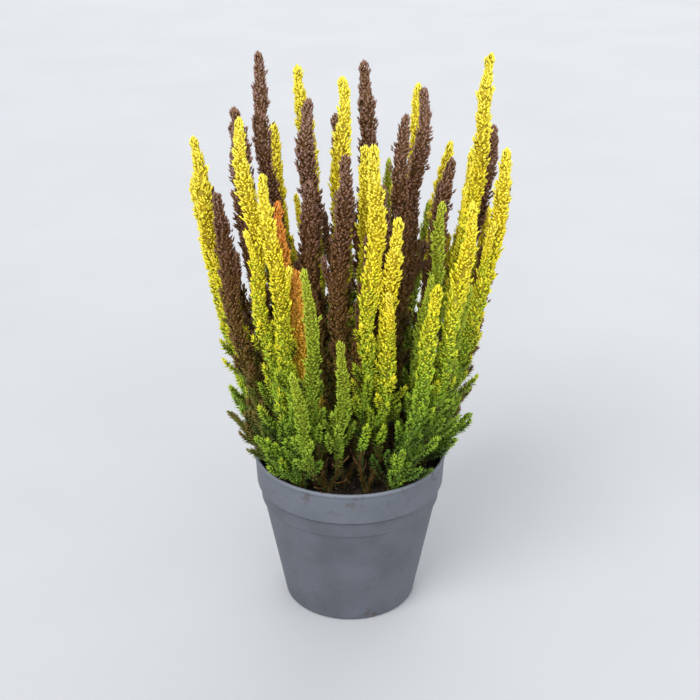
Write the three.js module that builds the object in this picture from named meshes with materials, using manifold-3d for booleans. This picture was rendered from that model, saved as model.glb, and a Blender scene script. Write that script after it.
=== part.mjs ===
// Potted heather: a pot of upright bud heather with golden, brown, rust and green spikes.
// Millimetres, +Z up, origin at the centre of the pot's underside, front towards -Y.
import * as THREE from 'three';
import { mergeVertices } from 'three/addons/utils/BufferGeometryUtils.js';
import Module from 'manifold-3d';

const wasm = await Module();
wasm.setup();

// Driving sizes of the pot.
const POT_HEIGHT = 90;
const RIM_RADIUS = 52.5;
const LIP_HEIGHT = 2;
const BAND_BOTTOM = 72;
const TIER_BOTTOM = 62.6;
const BASE_RADIUS = 36.5;
const WALL = 1.4;
const FLOOR = 1.5;
const POT_SIDES = 36;
const DRAIN_COUNT = 6;
const DRAIN_RADIUS = 4;
const DRAIN_CIRCLE = 24;

// Driving sizes of the soil.
const SOIL_TOP = 79.5;
const SOIL_BUMP = 1.1;
const SOIL_GAP = 0.45;
const SOIL_RINGS = [42, 29, 14];

// Driving sizes of the heather.
const TRUNK_RADIUS = 2.3;
const TRUNK_TOP = 86;
const TRUNK_DEPTH = 13;
const HOLE_GAP = 0.4;
const SHOOT_START = 80.5;
const SHOOT_SIDES = 6;
const BARE_RADIUS = 1.4;
const FORK_OFFSET = 4.5;
const FORK_HEIGHT = 15;
const TIP_TAPER = 30;
const VALLEY_DEPTH = 0.42;
const KNOB_LIFT = 0.55;
const TWIST_PER_RING = 0.12;
const TALL = { pitch: 9.4, bare: 20, leafedAfter: 50 };
const SPRIG = { pitch: 7.5, bare: 12, leafedAfter: 25, radius: 4.4 };
const SPRIG_MIN_ROOT = 37;
const SPRIG_TIPS = [
  { reach: 67, height: 114, turn: -8 },
  { reach: 61, height: 134, turn: 8 },
];
const SPRIG_BOW = -0.35;

const COLOURS = {
  pot: { color: 0x6d7079, roughness: 0.62 },
  soil: { color: 0x1f1814, roughness: 0.97 },
  golden: { color: 0xcfc630, roughness: 0.7 },
  brown: { color: 0x5e3f38, roughness: 0.8 },
  rust: { color: 0xb8683a, roughness: 0.75 },
  green: { color: 0x6f9a2e, roughness: 0.7 },
};

// Outer leaf radius of each colour's spikes.
const SPIKE_RADIUS = { golden: 4.6, brown: 5.4, rust: 4.4, green: 4.2 };

// Each spray stands on one woody root at [x, y] of the soil.
// Its spikes end at [x, y, z] and bow outwards by the last number.
const SPRAYS = [
  { name: 'golden_front_left', colour: 'golden', root: [-26, -34], tips: [[-50, -46, 284, 0.3], [-39, -50, 258, 0.3]] },
  { name: 'rust_front_left', colour: 'rust', root: [-18, -25], tips: [[-27, -37, 206, 0.2], [-34, -28, 238, 0.2]] },
  {
    name: 'green_front_left',
    colour: 'green',
    root: [-11, -34],
    tips: [[-20, -56, 214, 0.3], [-27, -63, 164, 0.5], [-3, -58, 178, 0.4]],
  },
  { name: 'golden_front_centre', colour: 'golden', root: [9, -33], tips: [[13, -48, 272, 0.3], [22, -46, 236, 0.3]] },
  { name: 'golden_front_right', colour: 'golden', root: [22, -35], tips: [[56, -52, 246, 0.8], [42, -56, 206, 0.8]] },
  {
    name: 'green_right',
    colour: 'green',
    root: [29, -19],
    tips: [[40, -34, 203, 0.5], [57, -34, 198, 0.6], [46, -26, 237, 0.3]],
  },
  { name: 'golden_right', colour: 'golden', root: [39, -6], tips: [[68, -4, 304, 0.4], [76, -18, 262, 0.5]] },
  { name: 'brown_front', colour: 'brown', root: [-2, -23], tips: [[-3, -30, 262, 0.2], [9, -32, 222, 0.3]] },
  { name: 'brown_left_front', colour: 'brown', root: [-14, -10], tips: [[-21, -13, 284, 0.2], [-21, -25, 248, 0.2]] },
  { name: 'brown_left', colour: 'brown', root: [-35, -16], tips: [[-56, -6, 278, 0.4], [-66, -20, 240, 0.4]] },
  { name: 'golden_left', colour: 'golden', root: [-40, 1], tips: [[-78, -2, 262, 0.4], [-80, 14, 236, 0.5]] },
  { name: 'brown_left_back', colour: 'brown', root: [-25, 10], tips: [[-47, 18, 300, 0.3], [-60, 28, 262, 0.4]] },
  { name: 'brown_right_front', colour: 'brown', root: [14, -15], tips: [[27, -12, 276, 0.2], [17, -22, 244, 0.2]] },
  { name: 'golden_centre', colour: 'golden', root: [-2, 3], tips: [[-4, 6, 290, 0.1], [9, 0, 258, 0.2]] },
  { name: 'brown_right', colour: 'brown', root: [22, 2], tips: [[37, 10, 284, 0.2], [50, 4, 250, 0.3]] },
  { name: 'golden_back_left', colour: 'golden', root: [-14, 23], tips: [[-26, 42, 288, 0.2], [-42, 48, 256, 0.3]] },
  { name: 'brown_back', colour: 'brown', root: [4, 22], tips: [[8, 34, 292, 0.2], [-8, 44, 262, 0.2]] },
  { name: 'golden_back_right', colour: 'golden', root: [20, 20], tips: [[36, 38, 280, 0.2], [52, 36, 250, 0.3]] },
  { name: 'brown_far_left', colour: 'brown', root: [-33, 25], tips: [[-62, 50, 252, 0.4], [-74, 38, 226, 0.5]] },
  { name: 'brown_far_right', colour: 'brown', root: [39, 12], tips: [[72, 22, 262, 0.4], [79, 7, 236, 0.5]] },
  { name: 'golden_far_back', colour: 'golden', root: [-3, 41], tips: [[-6, 70, 252, 0.4], [-24, 74, 230, 0.5]] },
  { name: 'green_back_right', colour: 'green', root: [17, 37], tips: [[22, 66, 232, 0.4], [42, 68, 206, 0.5]] },
  { name: 'green_back_left', colour: 'green', root: [-20, 37], tips: [[-42, 72, 214, 0.5], [-50, 62, 196, 0.5]] },
  { name: 'golden_corner_right', colour: 'golden', root: [32, 28], tips: [[66, 52, 240, 0.5], [74, 40, 214, 0.6]] },
];

// A closed body from a geometry whose shared corners are merged first.
function solidOf(geometry) {
  geometry.deleteAttribute('normal');
  geometry.deleteAttribute('uv');
  const merged = mergeVertices(geometry, 1e-4);
  return new wasm.Manifold(new wasm.Mesh({
    numProp: 3,
    vertProperties: new Float32Array(merged.attributes.position.array),
    triVerts: new Uint32Array(merged.index.array),
  }));
}

function geometryOf(solid) {
  const mesh = solid.getMesh();
  const geometry = new THREE.BufferGeometry();
  geometry.setAttribute('position', new THREE.BufferAttribute(mesh.vertProperties, 3));
  geometry.setIndex(new THREE.BufferAttribute(mesh.triVerts, 1));
  geometry.computeVertexNormals();
  return geometry;
}

// A closed turned body about Z from [radius, height] points that start and end on the axis.
function turned(points) {
  const profile = points.map(([radius, height]) => new THREE.Vector2(radius, height));
  return new THREE.LatheGeometry(profile, POT_SIDES).rotateX(Math.PI / 2);
}

// An upright prism from one height up to another.
function prism(radius, sides, x, y, bottom, top) {
  const geometry = new THREE.CylinderGeometry(radius, radius, top - bottom, sides);
  geometry.rotateX(Math.PI / 2);
  return geometry.translate(x, y, (bottom + top) / 2);
}

// The pot's inner wall from its floor up, as [radius, height].
const INNER_WALL = [
  [BASE_RADIUS - 1.2, FLOOR],
  [46.5, TIER_BOTTOM - 0.2],
  [47.6, TIER_BOTTOM + 1],
  [48.1, BAND_BOTTOM],
  [49.8, BAND_BOTTOM + WALL],
  [50.5, POT_HEIGHT - 3],
  [51.1, POT_HEIGHT - LIP_HEIGHT],
];

function potGeometry() {
  const outside = [
    [0, 0],
    [BASE_RADIUS - 1, 0],
    [BASE_RADIUS, 1],
    [47.9, TIER_BOTTOM - 0.8],
    [49, TIER_BOTTOM],
    [49.4, BAND_BOTTOM],
    [51.2, BAND_BOTTOM],
    [RIM_RADIUS - 0.6, POT_HEIGHT - LIP_HEIGHT - 0.5],
    [RIM_RADIUS, POT_HEIGHT - LIP_HEIGHT],
    [RIM_RADIUS, POT_HEIGHT - 0.5],
    [RIM_RADIUS - 0.5, POT_HEIGHT],
    [RIM_RADIUS - WALL, POT_HEIGHT],
  ];
  const inside = [...INNER_WALL].reverse();
  let pot = solidOf(turned([...outside, ...inside, [0, FLOOR]]));
  for (let i = 0; i < DRAIN_COUNT; i += 1) {
    const angle = (i + 0.5) * 2 * Math.PI / DRAIN_COUNT;
    const x = DRAIN_CIRCLE * Math.cos(angle);
    const y = DRAIN_CIRCLE * Math.sin(angle);
    pot = pot.subtract(solidOf(prism(DRAIN_RADIUS, 8, x, y, -1, FLOOR + 1)));
  }
  return geometryOf(pot);
}

// Low crumbs and hollows of the soil's surface.
function soilHeight(x, y) {
  return SOIL_TOP + SOIL_BUMP * Math.sin(x * 0.31 + 1.2) * Math.cos(y * 0.27 - 0.5);
}

function soilGeometry() {
  const [foot, shoulder, , tier, band] = INNER_WALL;
  const side = [foot, shoulder, tier].map(([radius, height]) => [radius - SOIL_GAP, height + SOIL_GAP]);
  const edge = [band[0] - SOIL_GAP, SOIL_TOP];
  const top = SOIL_RINGS.map((radius) => [radius, SOIL_TOP]);
  const geometry = turned([[0, FLOOR + SOIL_GAP], ...side, edge, ...top, [0, SOIL_TOP]]);
  const position = geometry.attributes.position;
  for (let i = 0; i < position.count; i += 1) {
    const x = position.getX(i);
    const y = position.getY(i);
    if (position.getZ(i) > SOIL_TOP - 0.1) {
      position.setZ(i, soilHeight(x, y));
    }
  }
  let soil = solidOf(geometry);
  for (const { root: [x, y] } of SPRAYS) {
    const bottom = SOIL_TOP - TRUNK_DEPTH - HOLE_GAP;
    soil = soil.subtract(solidOf(prism(TRUNK_RADIUS + HOLE_GAP, SHOOT_SIDES, x, y, bottom, TRUNK_TOP)));
  }
  return geometryOf(soil);
}

function smooth(value) {
  const x = Math.min(1, Math.max(0, value));
  return x * x * (3 - 2 * x);
}

// A repeatable random number from 0 to 1.
function seeded(n) {
  const value = Math.sin(n * 12.9898) * 43758.5453;
  return value - Math.floor(value);
}

// The centre line of one spike, from inside the trunk to its tip: t runs from 0 to 1.
function spikePath(root, base, tip) {
  const [tipX, tipY, tipZ, bow] = tip;
  return (t) => {
    const outward = t + bow * t * (1 - t);
    const rise = (tipZ - SHOOT_START) * t;
    const joined = Math.max(0, 1 - rise / FORK_HEIGHT);
    const x = base[0] + (tipX - base[0]) * outward;
    const y = base[1] + (tipY - base[1]) * outward;
    return new THREE.Vector3(x + (root[0] - x) * joined, y + (root[1] - y) * joined, SHOOT_START + rise);
  };
}

// One spike: rings along its path, where every second corner is a leaf tip pushed out and up.
function spikeGeometry(path, leafRadius, { pitch, bare, leafedAfter }, seed) {
  const points = Array.from({ length: 33 }, (_, i) => path(i / 32));
  let length = 0;
  for (let i = 1; i < points.length; i += 1) {
    length += points[i].distanceTo(points[i - 1]);
  }
  const leafy = Math.round((length - bare) / pitch);
  const stations = [0];
  for (let k = 0; k < leafy; k += 1) {
    stations.push((bare + (length - bare) * k / leafy) / length);
  }
  const corners = [];
  stations.forEach((t, k) => {
    const centre = path(t);
    const along = path(t + 0.01).sub(path(Math.max(0, t - 0.01))).normalize();
    const side = new THREE.Vector3(0, 1, 0).cross(along).normalize();
    const front = along.clone().cross(side);
    const leafed = smooth(t * length / leafedAfter);
    const taper = 0.5 + 0.5 * smooth((1 - t) * length / TIP_TAPER);
    const outer = (BARE_RADIUS + (leafRadius - BARE_RADIUS) * leafed) * taper;
    for (let j = 0; j < SHOOT_SIDES; j += 1) {
      const angle = j * 2 * Math.PI / SHOOT_SIDES + k * TWIST_PER_RING + seed;
      const isLeaf = (j + k) % 2 === 0;
      const vary = 0.88 + 0.12 * seeded(seed * 31 + k * 7 + j);
      const radius = isLeaf ? outer * vary : outer * (1 - VALLEY_DEPTH * leafed);
      const lift = isLeaf ? pitch * KNOB_LIFT * leafed : 0;
      const corner = centre.clone().addScaledVector(along, lift);
      corner.addScaledVector(side, radius * Math.cos(angle));
      corners.push(corner.addScaledVector(front, radius * Math.sin(angle)));
    }
  });
  const bottom = corners.push(path(0)) - 1;
  const top = corners.push(path(1).add(new THREE.Vector3(0, 0, 1))) - 1;
  const faces = [];
  for (let j = 0; j < SHOOT_SIDES; j += 1) {
    const next = (j + 1) % SHOOT_SIDES;
    faces.push(bottom, next, j);
    const last = (stations.length - 1) * SHOOT_SIDES;
    faces.push(top, last + j, last + next);
    for (let k = 0; k < stations.length - 1; k += 1) {
      const a = k * SHOOT_SIDES + j;
      const b = k * SHOOT_SIDES + next;
      const c = a + SHOOT_SIDES;
      const d = b + SHOOT_SIDES;
      // The fold runs from valley to valley, so that each leaf tip stands out.
      if ((j + k) % 2 === 0) {
        faces.push(a, b, c, b, d, c);
      } else {
        faces.push(a, b, d, a, d, c);
      }
    }
  }
  const geometry = new THREE.BufferGeometry().setFromPoints(corners);
  return geometry.setIndex(faces);
}

// Where each spike of a spray would leave the soil if it didn't meet the others in the trunk.
function spikeBases({ root, tips }) {
  const middleX = tips.reduce((sum, tip) => sum + tip[0], 0) / tips.length;
  const middleY = tips.reduce((sum, tip) => sum + tip[1], 0) / tips.length;
  return tips.map(([x, y]) => {
    const apart = new THREE.Vector2(x - middleX, y - middleY).setLength(FORK_OFFSET);
    return [root[0] + apart.x, root[1] + apart.y];
  });
}

// Low side sprigs that lean out over the rim, on the sprays that stand near it.
function sprigTips({ root: [x, y] }) {
  if (Math.hypot(x, y) < SPRIG_MIN_ROOT) {
    return [];
  }
  return SPRIG_TIPS.map(({ reach, height, turn }) => {
    const angle = Math.atan2(y, x) + THREE.MathUtils.degToRad(turn);
    return [reach * Math.cos(angle), reach * Math.sin(angle), height, SPRIG_BOW];
  });
}

// One spray: a woody trunk with its spikes and sprigs grown together.
function sprayGeometry(spray, index) {
  const [x, y] = spray.root;
  const bases = spikeBases(spray);
  let solid = solidOf(prism(TRUNK_RADIUS, SHOOT_SIDES, x, y, SOIL_TOP - TRUNK_DEPTH, TRUNK_TOP));
  spray.tips.forEach((tip, k) => {
    const path = spikePath(spray.root, bases[k], tip);
    const seed = index + k * 0.37;
    solid = solid.add(solidOf(spikeGeometry(path, SPIKE_RADIUS[spray.colour], TALL, seed)));
  });
  sprigTips(spray).forEach((tip, k) => {
    const path = spikePath(spray.root, spray.root, tip);
    const seed = index + 0.5 + k * 0.41;
    solid = solid.add(solidOf(spikeGeometry(path, SPRIG.radius, SPRIG, seed)));
  });
  return geometryOf(solid);
}

function part(name, geometry, colour) {
  const material = new THREE.MeshStandardMaterial({ ...COLOURS[colour], metalness: 0 });
  const mesh = new THREE.Mesh(geometry, material);
  mesh.name = name;
  return mesh;
}

const heather = new THREE.Group();
heather.add(part('pot', potGeometry(), 'pot'));
heather.add(part('soil', soilGeometry(), 'soil'));
SPRAYS.forEach((spray, index) => {
  heather.add(part(spray.name, sprayGeometry(spray, index), spray.colour));
});

export default heather;
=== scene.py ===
import math
from collections import namedtuple

import bmesh
import bpy
import numpy as np
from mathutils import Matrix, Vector


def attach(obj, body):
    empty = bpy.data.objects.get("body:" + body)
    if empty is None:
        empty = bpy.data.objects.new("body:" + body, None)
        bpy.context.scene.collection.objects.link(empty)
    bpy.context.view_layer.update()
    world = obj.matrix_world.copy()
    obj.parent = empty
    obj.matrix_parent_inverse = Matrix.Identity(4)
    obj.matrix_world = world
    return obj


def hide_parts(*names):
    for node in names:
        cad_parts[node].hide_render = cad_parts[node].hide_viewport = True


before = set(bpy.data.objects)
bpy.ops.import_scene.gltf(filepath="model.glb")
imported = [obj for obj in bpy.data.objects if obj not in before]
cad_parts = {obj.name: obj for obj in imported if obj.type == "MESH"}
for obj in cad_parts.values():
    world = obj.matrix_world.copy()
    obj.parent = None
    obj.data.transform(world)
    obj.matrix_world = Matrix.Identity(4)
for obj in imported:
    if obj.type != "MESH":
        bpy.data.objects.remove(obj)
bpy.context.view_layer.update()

MM = 0.001
BAKE_MAP = "OFBake"
FULL_TURN = 2 * math.pi
# Each leaf or shoot is turned by this angle from the last, which spreads them round a stem.
GOLDEN_ANGLE = math.pi * (3 - math.sqrt(5))

# Driving sizes of the pot, in millimetres.
POT_HEIGHT = 90
RIM_RADIUS = 52.5
LIP_HEIGHT = 2
LIP_STEP = 0.6
BAND_RADIUS = 51.2
BAND_BOTTOM = 72
TIER_TOP_RADIUS = 49.4
TIER_RADIUS = 49
TIER_BOTTOM = 62.6
TIER_SLOPE = 0.8
BODY_RADIUS = 47.9
BASE_RADIUS = 36.5
FOOT_BEVEL = 1
RIM_BEVEL = 0.5
CORNER_RADIUS = 0.35
WALL = 1.4
LEDGE_WALL = 1.3
FOOT_WALL = 1.2
INNER_STEP = 1
INNER_DROP = 0.2
FLOOR = 1.5
DRAIN_COUNT = 6
DRAIN_RADIUS = 4
DRAIN_CIRCLE = 24
DRAIN_CUT = 6
DRAIN_SIDES = 32
POT_SIDES = 144
# Edges that turn by more than this stay sharp, in degrees.
SHARP_ANGLE = 35

# Driving sizes of the soil, in millimetres.
SOIL_TOP = 79.5
SOIL_BUMP = 1.1
SOIL_RADIUS = 49.2
SOIL_GRAIN = 0.16
SOIL_SIDES = 200
SOIL_RINGS = 70
SOIL_SEED = 7
# The soil's edge drops from its start by so much over a run.
SOIL_EDGE = 46
SOIL_EDGE_DROP = 0.8
SOIL_EDGE_RUN = 4
# The radius and height of each ring of its side, down to its underside.
SOIL_SIDE = ((47.5, BAND_BOTTOM + 0.5), (46, TIER_BOTTOM), (BASE_RADIUS - 2, FLOOR + 0.5))
# Its lumps and hollows: how many, how wide and how high.
LUMP_COUNT = 260
LUMP_WIDTHS = (1.2, 3.4)
LUMP_HEIGHTS = (-0.5, 1.1)
# Loose crumbs: how many, how long, how wide and high as shares of that, and how uneven.
CRUMB_COUNT = 700
CRUMB_LENGTHS = (0.35, 1.5)
CRUMB_WIDTHS = (0.5, 1)
CRUMB_HEIGHTS = (0.35, 0.8)
CRUMB_RELIEF = (0.7, 1.2)
# Fallen needles: how many, how long, wide and thick.
FALLEN_COUNT = 420
FALLEN_LENGTHS = (2.4, 4.0)
FALLEN_WIDTH = 0.9
FALLEN_THICKNESS = 0.6
FALLEN_SEED = 11

# How far leaves keep off the soil, above the rim and away from the pot's wall, in millimetres.
OFF_SOIL = 0.5
OVER_RIM = 0.8
OFF_WALL = 1.6

# Driving sizes of the heather, in millimetres.
TRUNK_DEPTH = 6
TRUNK_TOP = 86
TRUNK_RADIUS = 2.3
TRUNK_TAPER = 1.6
TRUNK_JOINTS = 8
SHOOT_START = 80.5
FORK_OFFSET = 4.5
FORK_HEIGHT = 15
STEM_RADIUS = 1.3
STEM_TAPER = 0.5
STEM_GAP = 0.6
SWAY = 1.4
SWAY_RUN = 60
SWAY_WAVES = (60, 130)
LINE_SAMPLES = 90
# The bare foot of a stem in the middle of the plant, where its first dry twig grows, and how far
# above the bare foot its first leafy shoot and its last dry twig grow.
BARE_FOOT = 20
FIRST_TWIG = 4
FIRST_SHOOT = 7
LAST_TWIG = 8

# Sprays within the crowded middle have the least share of leafy shoots; it gains so much over a run.
CROWDED = 18
FULLNESS = (0.75, 0.35, 22)

# The low sprigs stand on the sprays rooted at least this far out. Each tip has a reach from the
# middle, a height and a turn in degrees, and moves in and up by small shares of its place.
SPRIG_MIN_ROOT = 37
SPRIG_TIPS = ((67, 114, -8), (61, 134, 8))
SPRIG_BOW = -0.35
SPRIG_TIP_SHIFT = (0.02, 0.02, -0.05)

# How far up a spike its woody stem, its needles and its leafy side shoots end, where its buds
# start, and the stretch where smaller spikes fork off, all as shares of its length.
WOODY_END = 0.4
NEEDLES_END = 0.42
SHOOTS_END = 0.52
BUDS_START = 0.27
FORKS = (0.45, 0.66)
# Where the buds of those and of the low sprigs start, the girth of both as a share of a spike's,
# and how much further up the colours the smaller spikes are.
SIDE_BUDS_START = 0.06
SPRIG_BUDS_START = 0.12
SIDE_SPIKE_GIRTH = 0.7
SPRIG_GIRTH = 0.8
SIDE_SPIKE_HUE = 0.1

# The sprays, named from their colours: the root on the soil, and the tip and bow of each spike.
SPRAYS = {
    "golden_front_left": ((-26, -34), ((-50, -46, 284, 0.3), (-39, -50, 258, 0.3))),
    "rust_front_left": ((-18, -25), ((-27, -37, 206, 0.2), (-34, -28, 238, 0.2))),
    "green_front_left": (
        (-11, -34), ((-20, -56, 214, 0.3), (-27, -63, 164, 0.5), (-3, -58, 178, 0.4))
    ),
    "golden_front_centre": ((9, -33), ((13, -48, 272, 0.3), (22, -46, 236, 0.3))),
    "golden_front_right": ((22, -35), ((56, -52, 246, 0.8), (42, -56, 206, 0.8))),
    "green_right": ((29, -19), ((40, -34, 203, 0.5), (57, -34, 198, 0.6), (46, -26, 237, 0.3))),
    "golden_right": ((39, -6), ((68, -4, 304, 0.4), (76, -18, 262, 0.5))),
    "brown_front": ((-2, -23), ((-3, -30, 262, 0.2), (9, -32, 222, 0.3))),
    "brown_left_front": ((-14, -10), ((-21, -13, 284, 0.2), (-21, -25, 248, 0.2))),
    "brown_left": ((-35, -16), ((-56, -6, 278, 0.4), (-66, -20, 240, 0.4))),
    "golden_left": ((-40, 1), ((-78, -2, 262, 0.4), (-80, 14, 236, 0.5))),
    "brown_left_back": ((-25, 10), ((-47, 18, 300, 0.3), (-60, 28, 262, 0.4))),
    "brown_right_front": ((14, -15), ((27, -12, 276, 0.2), (17, -22, 244, 0.2))),
    "golden_centre": ((-2, 3), ((-4, 6, 290, 0.1), (9, 0, 258, 0.2))),
    "brown_right": ((22, 2), ((37, 10, 284, 0.2), (50, 4, 250, 0.3))),
    "golden_back_left": ((-14, 23), ((-26, 42, 288, 0.2), (-42, 48, 256, 0.3))),
    "brown_back": ((4, 22), ((8, 34, 292, 0.2), (-8, 44, 262, 0.2))),
    "golden_back_right": ((20, 20), ((36, 38, 280, 0.2), (52, 36, 250, 0.3))),
    "brown_far_left": ((-33, 25), ((-62, 50, 252, 0.4), (-74, 38, 226, 0.5))),
    "brown_far_right": ((39, 12), ((72, 22, 262, 0.4), (79, 7, 236, 0.5))),
    "golden_far_back": ((-3, 41), ((-6, 70, 252, 0.4), (-24, 74, 230, 0.5))),
    "green_back_right": ((17, 37), ((22, 66, 232, 0.4), (42, 68, 206, 0.5))),
    "green_back_left": ((-20, 37), ((-42, 72, 214, 0.5), (-50, 62, 196, 0.5))),
    "golden_corner_right": ((32, 28), ((66, 52, 240, 0.5), (74, 40, 214, 0.6))),
}
SPRAY_SEED = 1000

# A colour's spikes: outer radius, bud size (long, wide, thick), the buds' lean off the stem, buds a
# millimetre, how much of the radius the packed inner leaves fill, and how far side shoots stand out.
Spike = namedtuple("Spike", "radius bud lean dense fill stand")
SPIKES = {
    "golden": Spike(radius=3.9, bud=(3.1, 1.9, 1.3), lean=0.72, dense=10.8, fill=0.64, stand=2.0),
    "rust": Spike(radius=3.6, bud=(3.0, 1.8, 1.2), lean=0.72, dense=10.4, fill=0.64, stand=1.7),
    "brown": Spike(radius=4.4, bud=(3.3, 2.1, 1.4), lean=0.66, dense=9.0, fill=0.62, stand=2.2),
    "green": Spike(radius=3.5, bud=(3.3, 1.6, 1.0), lean=0.78, dense=8.5, fill=0.55, stand=1.9),
}
BUD_SIDES = 3
NEEDLE_SIDES = 2

# Needle leaves: how many a millimetre, their lean off the stem, and their size (long, wide, thick).
Needles = namedtuple("Needles", "dense lean size")
SHOOT_NEEDLES = Needles(dense=4.6, lean=0.85, size=(3.4, 1.3, 0.85))
STEM_NEEDLES = Needles(dense=3.4, lean=0.85, size=(3.4, 1.2, 0.8))
FOOT_NEEDLES = Needles(dense=2.6, lean=0.95, size=(2.8, 0.9, 0.6))

# What grows out of a stem: its spacing, its length low and high on the stem, and its lean off the
# stem at its own foot and tip.
Growth = namedtuple("Growth", "spacing low_reach high_reach foot_lean tip_lean")
LEAFY_SHOOTS = Growth(spacing=3.9, low_reach=22, high_reach=8, foot_lean=0.9, tip_lean=0.3)
SPRIG_SHOOTS = Growth(spacing=5, low_reach=15, high_reach=9, foot_lean=0.7, tip_lean=0.1)
DRY_TWIGS = Growth(spacing=5.5, low_reach=11, high_reach=7, foot_lean=1.0, tip_lean=0.4)
SIDE_SPIKES = Growth(spacing=30, low_reach=38, high_reach=26, foot_lean=0.42, tip_lean=0.0)
# How uneven it grows, as spreads of the factors on its length and lean and of its swerve to a side,
# how far its tip turns up, and how many steps it is made in.
GROWTH_LENGTHS = (0.7, 1.2)
GROWTH_LEANS = (0.85, 1.15)
GROWTH_SWERVE = 0.2
GROWTH_LIFT = (0, 0, 0.2)
GROWTH_STEPS = 6
# How uneven the bark of a bare stem is, in its radius and its tone.
BARK_RELIEF = 0.2
BARK_CONTRAST = 0.18

# Colours up each spike as the eye sees them, from the woody foot to the tip.
HUES = {
    "golden": (
        (0.0, (108, 74, 50)), (0.07, (66, 94, 29)), (0.26, (96, 134, 37)), (0.46, (152, 186, 44)),
        (0.62, (212, 214, 44)), (0.76, (246, 230, 44)), (1.0, (255, 244, 94)),
    ),
    "rust": (
        (0.0, (108, 74, 50)), (0.07, (66, 94, 29)), (0.28, (108, 140, 38)), (0.46, (232, 206, 64)),
        (0.7, (252, 194, 78)), (1.0, (248, 150, 76)),
    ),
    "brown": (
        (0.0, (104, 74, 50)), (0.07, (66, 94, 29)), (0.24, (92, 124, 35)), (0.36, (114, 108, 40)),
        (0.58, (120, 87, 42)), (0.8, (115, 79, 58)), (1.0, (146, 113, 106)),
    ),
    "green": (
        (0.0, (108, 74, 50)), (0.07, (66, 94, 29)), (0.4, (138, 171, 47)), (0.7, (170, 191, 55)),
        (1.0, (196, 206, 64)),
    ),
}

# Places on these colours: dry wood, a spike's foot, and what its length and height in the plant add.
DRY_HUE = 0.01
FOOT_HUE = 0.1
LENGTH_HUE = 0.44
HEIGHT_HUE = 0.44
HEIGHT_SPAN = 200
# How much further down its colours this spray is than the others, which makes it greener.
GREENER = {"golden_front_right": 0.1}
# The share of needle leaves that are dry.
DRY_SHARE = 0.06

# How bright a leaf is from its shaded foot to its tip, as a factor on its colour.
TONES = (
    (0.0, (0.10, 0.07, 0.01, 1)), (0.3, (0.44, 0.37, 0.10, 1)),
    (0.55, (0.84, 0.80, 0.56, 1)), (0.85, (1, 1, 1, 1)),
)

# Other colours as the eye sees them.
DARK_PLASTIC = (76, 80, 88)
LIGHT_PLASTIC = (88, 92, 101)
# The colour of the painted light on the pot's band and of the painted highlight on its lip.
PAINTED_LIGHT_PLASTIC = (118, 123, 134)
WORN_SPECKS = (128, 132, 140)
# The colour of the painted shadow under the pot's band.
UNDER_BAND_SHADOW = (44, 45, 48)
DRIED_SOIL = (74, 62, 52)
DARK_PEAT = (22, 16, 13)
LIGHT_PEAT = (54, 41, 32)
PEAT_FIBRES = (104, 80, 58)
DARK_BOARD = (176, 178, 181)
LIGHT_BOARD = (179, 181, 184)
SKY = (231, 233, 236)

# The lights: azimuth from the front towards the right and elevation in degrees, strength, and the
# width of the soft disc in degrees.
LIGHTS = {
    "key": (-35, 46, 2.1, 35),
    "fill": (50, 30, 0.7, 60),
    "front": (5, 14, 1.2, 60),
    "back": (170, 30, 1.2, 60),
}
BOARD_SIZE = 60

# The camera's place and aim, in metres from the middle of the pot's underside, and its lens.
EYE = (0.006, -0.617, 0.435)
AIM = (0.0, 0.0, 0.148)
LENS = 66


def linear(colour):
    """An eye-scale colour of 0 to 255 as Blender's linear colour."""
    scaled = (c / 255 for c in colour)
    return tuple(c / 12.92 if c <= 0.04045 else ((c + 0.055) / 1.055) ** 2.4 for c in scaled) + (1,)


class Value:
    """A socket of a node tree; arithmetic on it adds Math nodes."""

    def __init__(self, socket):
        self.socket = socket

    def math(self, operation, *values):
        tree = self.socket.id_data
        node = tree.nodes.new("ShaderNodeMath")
        node.operation = operation
        for socket, value in zip(node.inputs, values):
            put(tree, socket, value)
        return Value(node.outputs[0])

    def __add__(self, other):
        return self.math("ADD", self, other)

    def __sub__(self, other):
        return self.math("SUBTRACT", self, other)

    def __mul__(self, other):
        return self.math("MULTIPLY", self, other)

    def __rsub__(self, other):
        return self.math("SUBTRACT", other, self)

    __radd__ = __add__
    __rmul__ = __mul__


def put(tree, socket, value):
    """Links a value into a socket, or sets the socket to it."""
    if isinstance(value, Value):
        tree.links.new(value.socket, socket)
    else:
        socket.default_value = value


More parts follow.
